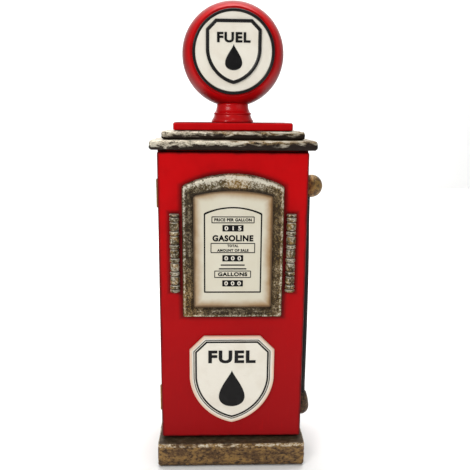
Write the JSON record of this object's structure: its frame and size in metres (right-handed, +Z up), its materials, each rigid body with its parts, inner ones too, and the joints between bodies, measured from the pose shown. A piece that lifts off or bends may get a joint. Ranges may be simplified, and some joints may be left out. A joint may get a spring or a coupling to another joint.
{
  "type": "ornamental gas pump cabinet",
  "caption": "Free-standing ornamental gas pump: a slim red cabinet with a hinged front door, dial, round globe on a collar, stepped cornice, plinth and side hose.",
  "frame": {"origin": "centre of the pad under the plinth, where the object stands", "axes": "+Z up, the front (door) faces -Y, +X to the right as seen from the front, where the hose is"},
  "size_m": [0.1904, 0.12, 0.5186],
  "materials": {
    "bare_board": "unpainted fibre board",
    "black_enamel": "gloss black",
    "brass": "plain brass",
    "bronze_trim": "cast resin under brushed bronze paint over dark brown",
    "cream_card": "aged cream print with a brown wash at the edge",
    "gilt_trim": "cast resin under aged silver-gold leaf over dark brown",
    "hose_rubber": "matt black",
    "magnet_black": "moulded",
    "pad_felt": "soft foam rubber",
    "red_board": "fibre board under brushed gloss enamel, darker in the corners",
    "red_resin": "cast resin under gloss enamel",
    "steel": "zinc plated",
    "white_enamel": "satin off-white enamel"
  },
  "bodies": {
    "cabinet": {"back_panel": "bare_board", "back_screws": "steel", "base_pad": "pad_felt", "base_plinth": "bronze_trim", "base_screws": "steel", "catch_magnet": "magnet_black", "catch_screws": "steel", "ceiling_panel": "red_board", "cornice_screws": "steel", "fitting_screws": "steel", "floor_panel": "red_board", "frame_hinge_leaves": "brass", "frame_hinge_screws": "brass", "globe_badge": "white_enamel", "globe_bezel": "black_enamel", "globe_bolt": "steel", "globe_face": "white_enamel", "globe_insert": "brass", "globe_shell": "red_resin", "globe_washer": "steel", "hinge_pins": "brass", "hose": "hose_rubber", "hose_outlet": "bronze_trim", "hose_socket": "bronze_trim", "left_side": "red_board", "lower_cornice": "gilt_trim", "lower_shelf": "red_board", "magnet_catch": "magnet_black", "neck_collar": "red_resin", "right_side": "red_board", "roof_block": "red_board", "shelf_pins": "steel", "upper_cornice": "gilt_trim", "upper_shelf": "red_board"},
    "door": {"door_panel": "red_board", "dial_frame": "gilt_trim", "dial_plate": "cream_card", "left_spindle": "gilt_trim", "right_spindle": "gilt_trim", "door_badge": "white_enamel", "door_hinge_leaves": "brass", "door_hinge_screws": "brass", "strike_plate": "steel", "strike_screws": "steel", "trim_screws": "steel"}
  },
  "joints": [
    {"name": "door_hinge", "type": "hinge", "parent": "cabinet", "child": "door", "pos_m": [-0.0804, -0.0407, 0.1973], "axis": [0, 0, -1], "range_deg": [0, 180]}
  ]
}
